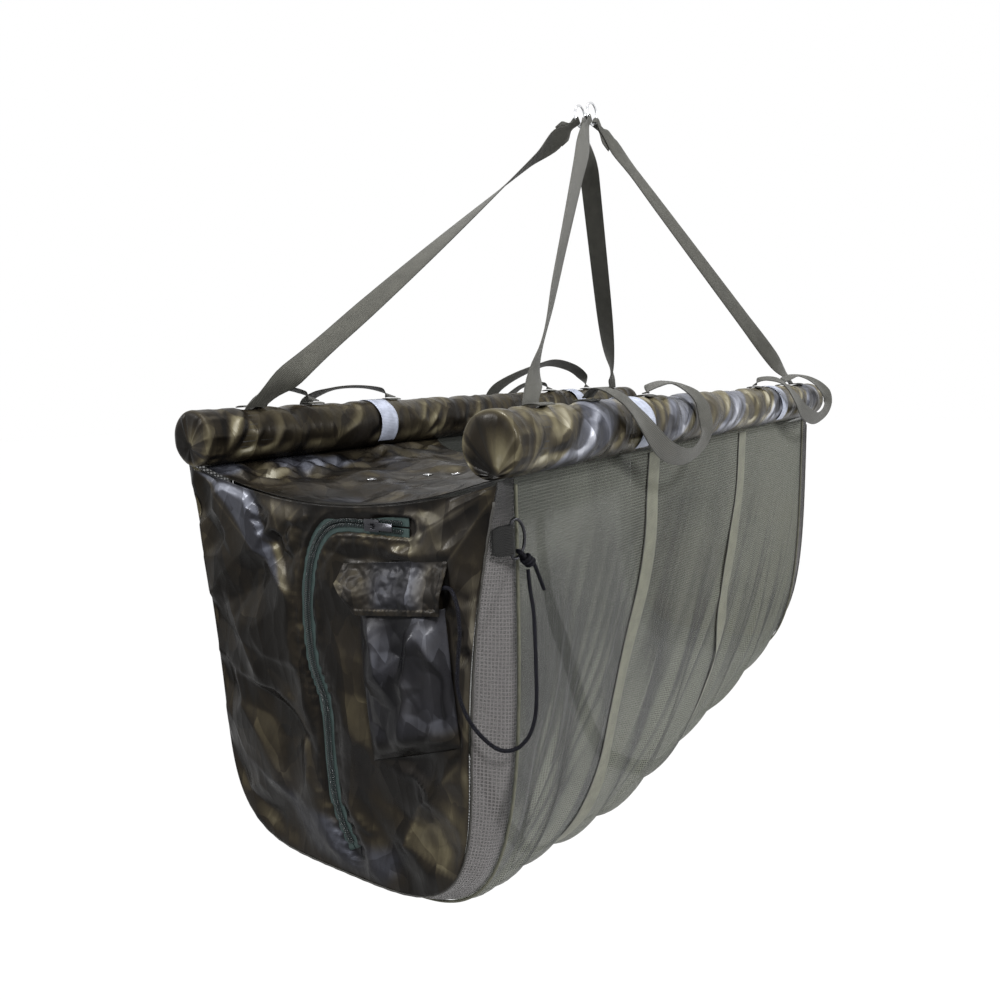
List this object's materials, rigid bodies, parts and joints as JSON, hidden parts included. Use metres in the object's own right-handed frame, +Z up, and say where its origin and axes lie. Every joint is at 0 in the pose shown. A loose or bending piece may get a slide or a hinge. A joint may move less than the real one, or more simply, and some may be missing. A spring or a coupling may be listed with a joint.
{
  "type": "weigh sling",
  "caption": "Floating mesh sling for weighing a fish, hung by webbing straps from rings, with padded float tubes, hooded ends, carrying handles and a zipped end",
  "frame": {"origin": "the point where the scale's hook holds both rings, at the inner top of the rings' wire", "axes": "+X along the floats away from the zipped end, +Z up, -Y towards the front float"},
  "size_m": [1.2424, 0.5202, 1.176],
  "materials": {
    "camo_nylon": "crinkled coated nylon in dark olive and brown blotches, semi-gloss",
    "mesh": "fine soft olive-grey mesh, matt",
    "brown_mesh": "fine brown mesh, matt",
    "webbing": "woven olive webbing, matt",
    "light_webbing": "pale olive binding and side webbing, matt",
    "ring_chrome": "polished wire",
    "dark_metal": "darkened metal",
    "braided_cord": "braided, near black",
    "foam": "closed-cell foam, inside",
    "reflective_tape": "pale reflective tape, satin",
    "zip_tape": "dark teal zip tape"
  },
  "bodies": {
    "sling": {"cord_hank": "braided_cord", "far_end_panel": "brown_mesh", "float_core_back": "foam", "float_core_front": "foam", "float_sleeve_back": "camo_nylon", "float_sleeve_front": "camo_nylon", "girth_strap_far": "light_webbing", "girth_strap_near": "light_webbing", "gusset_far": "brown_mesh", "gusset_near": "brown_mesh", "handle_tack_back_far_1": "webbing", "handle_tack_back_far_2": "webbing", "handle_tack_back_near_1": "webbing", "handle_tack_back_near_2": "webbing", "handle_tack_front_far_1": "webbing", "handle_tack_front_far_2": "webbing", "handle_tack_front_near_1": "webbing", "handle_tack_front_near_2": "webbing", "hanging_strap_back_far": "webbing", "hanging_strap_back_near": "webbing", "hanging_strap_front_far": "webbing", "hanging_strap_front_near": "webbing", "hood_eyelet_1": "ring_chrome", "hood_eyelet_2": "ring_chrome", "hood_eyelet_3": "ring_chrome", "hood_far": "camo_nylon", "hood_near": "camo_nylon", "mesh_floor": "mesh", "mesh_side_back": "mesh", "mesh_side_front": "mesh", "pocket": "camo_nylon", "reflective_band_back_far": "reflective_tape", "reflective_band_back_near": "reflective_tape", "reflective_band_front_far": "reflective_tape", "reflective_band_front_near": "reflective_tape", "retaining_cord": "braided_cord", "ring_tab": "webbing", "seam_piping_far": "light_webbing", "seam_piping_near": "light_webbing", "sleeve_cap_back_far": "camo_nylon", "sleeve_cap_back_near": "camo_nylon", "sleeve_cap_front_far": "camo_nylon", "sleeve_cap_front_near": "camo_nylon", "zip_end_panel": "camo_nylon", "zip_tape_left": "zip_tape", "zip_tape_right": "zip_tape"},
    "ring_front": {"hang_ring_front": "ring_chrome"},
    "ring_back": {"hang_ring_back": "ring_chrome"},
    "handle_front_near": {"carry_handle_front_near": "webbing"},
    "handle_front_far": {"carry_handle_front_far": "webbing"},
    "handle_back_near": {"carry_handle_back_near": "webbing"},
    "handle_back_far": {"carry_handle_back_far": "webbing"},
    "slider": {"zip_slider": "dark_metal"},
    "pull": {"zip_pull": "dark_metal"},
    "flap": {"pocket_flap": "camo_nylon"},
    "tether_ring": {"d_ring": "dark_metal", "cord_knot": "braided_cord"}
  },
  "joints": [
    {"name": "ring_front_turn", "type": "hinge", "parent": "sling", "child": "ring_front", "pos_m": [0, -0.0105, -0.014], "axis": [0, 1, 0], "continuous": true},
    {"name": "ring_back_turn", "type": "hinge", "parent": "sling", "child": "ring_back", "pos_m": [0, 0.0105, -0.014], "axis": [0, 1, 0], "continuous": true},
    {"name": "handle_front_near_lift", "type": "hinge", "parent": "sling", "child": "handle_front_near", "pos_m": [-0.314, -0.2035, -0.4422], "axis": [-1, 0, 0], "range_deg": [0, 36]},
    {"name": "handle_front_far_lift", "type": "hinge", "parent": "sling", "child": "handle_front_far", "pos_m": [0.326, -0.2035, -0.4422], "axis": [-1, 0, 0], "range_deg": [0, 50]},
    {"name": "handle_back_near_lift", "type": "hinge", "parent": "sling", "child": "handle_back_near", "pos_m": [-0.338, 0.2035, -0.4422], "axis": [1, 0, 0], "range_deg": [0, 50]},
    {"name": "handle_back_far_lift", "type": "hinge", "parent": "sling", "child": "handle_back_far", "pos_m": [0.302, 0.2035, -0.4422], "axis": [1, 0, 0], "range_deg": [0, 70]},
    {"name": "zip_slide", "type": "slide", "parent": "sling", "child": "slider", "axis": [0.0125, -0.9999, -0.001], "range_m": [0, 0.024]},
    {"name": "pull_flip", "type": "hinge", "parent": "slider", "child": "pull", "pos_m": [-0.60811, -0.06715, -0.56248], "axis": [0, 0.0009, -1], "range_deg": [0, 165]},
    {"name": "flap_lift", "type": "hinge", "parent": "sling", "child": "flap", "pos_m": [-0.6069, -0.096, -0.597], "axis": [-0.0308, 0.9923, -0.1203], "range_deg": [0, 120]},
    {"name": "tether_ring_swing", "type": "hinge", "parent": "sling", "child": "tether_ring", "pos_m": [-0.5795, -0.2175, -0.569], "axis": [0, 0, -1], "range_deg": [0, 140], "deforming": ["retaining_cord"]}
  ]
}
